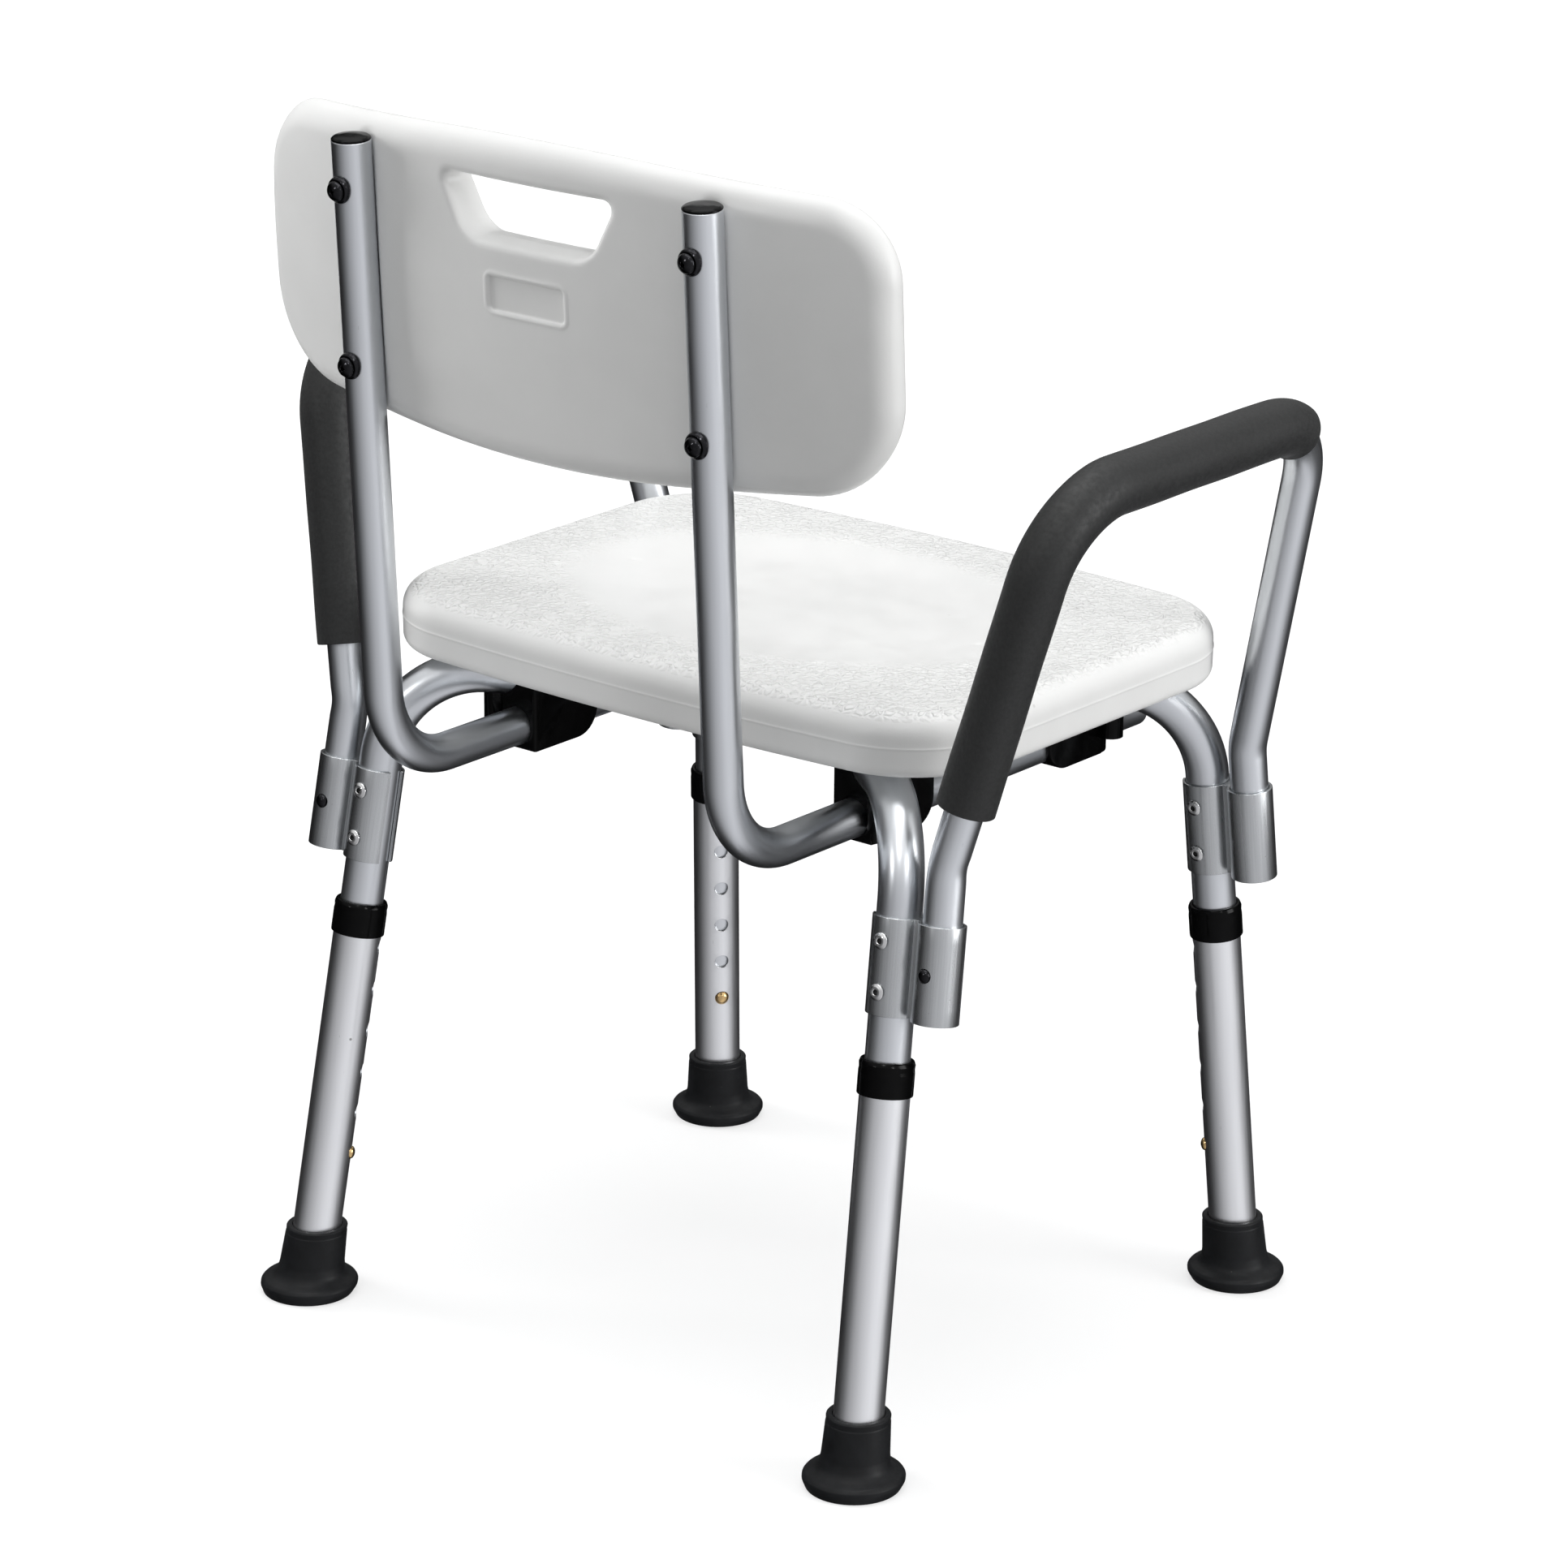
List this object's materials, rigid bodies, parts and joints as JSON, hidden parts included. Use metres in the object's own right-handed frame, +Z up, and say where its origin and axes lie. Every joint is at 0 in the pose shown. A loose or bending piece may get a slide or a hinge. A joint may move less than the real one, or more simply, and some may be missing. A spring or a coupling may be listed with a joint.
{
  "type": "shower chair",
  "caption": "White moulded shower seat with a curved backrest and padded arms on a height-adjustable aluminium tube frame with rubber feet.",
  "frame": {"origin": "on the floor under the middle of the chair's bounding box", "axes": "+Z up; +X is the sitter's left; the sitter faces -Y, so +Y is the back"},
  "size_m": [0.5704, 0.4541, 0.7321],
  "materials": {
    "white_plastic": "moulded, fine matt grain",
    "satin_aluminium": "satin anodised tube",
    "bracket_aluminium": "extruded, fine lengthwise lines",
    "black_plastic": "smooth moulded",
    "black_rubber": "matt moulded",
    "charcoal_foam": "soft closed-cell foam with a low sheen",
    "brass": "bright, lightly worn",
    "dark_chrome": "dark polished plating",
    "bright_steel": "bright zinc or plain steel"
  },
  "bodies": {
    "frame": {"seat": "white_plastic", "leg_arch_left": "satin_aluminium", "arm_tube_left": "satin_aluminium", "arm_grip_left": "charcoal_foam", "leg_arch_right": "satin_aluminium", "arm_tube_right": "satin_aluminium", "arm_grip_right": "charcoal_foam", "tube_bracket_rear_left": "black_plastic", "arm_bracket_rear_left": "bracket_aluminium", "bracket_rivet_rear_left_1": "bright_steel", "bracket_rivet_rear_left_2": "bright_steel", "frame_screw_rear_left": "bright_steel", "tube_bracket_rear_right": "black_plastic", "arm_bracket_rear_right": "bracket_aluminium", "bracket_rivet_rear_right_1": "bright_steel", "bracket_rivet_rear_right_2": "bright_steel", "frame_screw_rear_right": "bright_steel", "tube_bracket_front_left": "black_plastic", "arm_bracket_front_left": "bracket_aluminium", "bracket_rivet_front_left_1": "bright_steel", "bracket_rivet_front_left_2": "bright_steel", "frame_screw_front_left": "bright_steel", "tube_bracket_front_right": "black_plastic", "arm_bracket_front_right": "bracket_aluminium", "bracket_rivet_front_right_1": "bright_steel", "bracket_rivet_front_right_2": "bright_steel", "frame_screw_front_right": "bright_steel"},
    "back": {"backrest": "white_plastic", "back_tube_left": "satin_aluminium", "end_plug_left": "black_plastic", "back_screw_left_1": "dark_chrome", "back_screw_left_2": "dark_chrome", "back_washer_left_1": "dark_chrome", "back_washer_left_2": "dark_chrome", "back_tube_right": "satin_aluminium", "end_plug_right": "black_plastic", "back_screw_right_1": "dark_chrome", "back_screw_right_2": "dark_chrome", "back_washer_right_1": "dark_chrome", "back_washer_right_2": "dark_chrome"},
    "leg_rear_left": {"leg_extension_rear_left": "satin_aluminium", "leg_collar_rear_left": "black_plastic", "foot_rear_left": "black_rubber"},
    "leg_rear_right": {"leg_extension_rear_right": "satin_aluminium", "leg_collar_rear_right": "black_plastic", "foot_rear_right": "black_rubber"},
    "leg_front_left": {"leg_extension_front_left": "satin_aluminium", "leg_collar_front_left": "black_plastic", "foot_front_left": "black_rubber"},
    "leg_front_right": {"leg_extension_front_right": "satin_aluminium", "leg_collar_front_right": "black_plastic", "foot_front_right": "black_rubber"},
    "leg_button_rear_left": {"leg_snap_button_rear_left": "brass"},
    "leg_button_rear_right": {"leg_snap_button_rear_right": "brass"},
    "leg_button_front_left": {"leg_snap_button_front_left": "brass"},
    "leg_button_front_right": {"leg_snap_button_front_right": "brass"},
    "arm_button_left": {"arm_snap_button_left": "dark_chrome"},
    "arm_button_right": {"arm_snap_button_right": "dark_chrome"},
    "back_button_left": {"back_snap_button_left": "brass"},
    "back_button_right": {"back_snap_button_right": "brass"}
  },
  "joints": [
    {"name": "back_slide", "type": "slide", "parent": "frame", "child": "back", "axis": [0, 1, 0], "range_m": [0, 0.24], "deforming": ["back_snap_button_left", "back_snap_button_right"]},
    {"name": "leg_slide_rear_left", "type": "slide", "parent": "frame", "child": "leg_rear_left", "axis": [0.0463, 0.1645, -0.9853], "range_m": [0, 0.127], "deforming": ["leg_snap_button_rear_left"]},
    {"name": "leg_slide_rear_right", "type": "slide", "parent": "frame", "child": "leg_rear_right", "axis": [-0.0463, 0.1645, -0.9853], "range_m": [0, 0.127], "deforming": ["leg_snap_button_rear_right"]},
    {"name": "leg_slide_front_left", "type": "slide", "parent": "frame", "child": "leg_front_left", "axis": [0.0498, -0.0747, -0.996], "range_m": [0, 0.127], "deforming": ["leg_snap_button_front_left"]},
    {"name": "leg_slide_front_right", "type": "slide", "parent": "frame", "child": "leg_front_right", "axis": [-0.0498, -0.0747, -0.996], "range_m": [0, 0.127], "deforming": ["leg_snap_button_front_right"]},
    {"name": "leg_button_press_rear_left", "type": "slide", "parent": "frame", "child": "leg_button_rear_left", "axis": [0.799, 0.5859, 0.1354], "range_m": [0, 0.0034], "stiffness_N_per_m": 2500, "springref_m": -0.002},
    {"name": "leg_button_press_rear_right", "type": "slide", "parent": "frame", "child": "leg_button_rear_right", "axis": [-0.799, 0.5859, 0.1354], "range_m": [0, 0.0034], "stiffness_N_per_m": 2500, "springref_m": -0.002},
    {"name": "leg_button_press_front_left", "type": "slide", "parent": "frame", "child": "leg_button_front_left", "axis": [0.7965, -0.5986, 0.0847], "range_m": [0, 0.0034], "stiffness_N_per_m": 2500, "springref_m": -0.002},
    {"name": "leg_button_press_front_right", "type": "slide", "parent": "frame", "child": "leg_button_front_right", "axis": [-0.7965, -0.5986, 0.0847], "range_m": [0, 0.0034], "stiffness_N_per_m": 2500, "springref_m": -0.002},
    {"name": "arm_button_press_left", "type": "slide", "parent": "frame", "child": "arm_button_left", "axis": [0, -0.9863, -0.1647], "range_m": [0, 0.0042], "stiffness_N_per_m": 2500, "springref_m": -0.002},
    {"name": "arm_button_press_right", "type": "slide", "parent": "frame", "child": "arm_button_right", "axis": [0, -0.9863, -0.1647], "range_m": [0, 0.0042], "stiffness_N_per_m": 2500, "springref_m": -0.002},
    {"name": "back_button_press_left", "type": "slide", "parent": "back", "child": "back_button_left", "axis": [0, 0, 1], "range_m": [0, 0.0042], "stiffness_N_per_m": 2500, "springref_m": -0.002},
    {"name": "back_button_press_right", "type": "slide", "parent": "back", "child": "back_button_right", "axis": [0, 0, 1], "range_m": [0, 0.0042], "stiffness_N_per_m": 2500, "springref_m": -0.002}
  ]
}
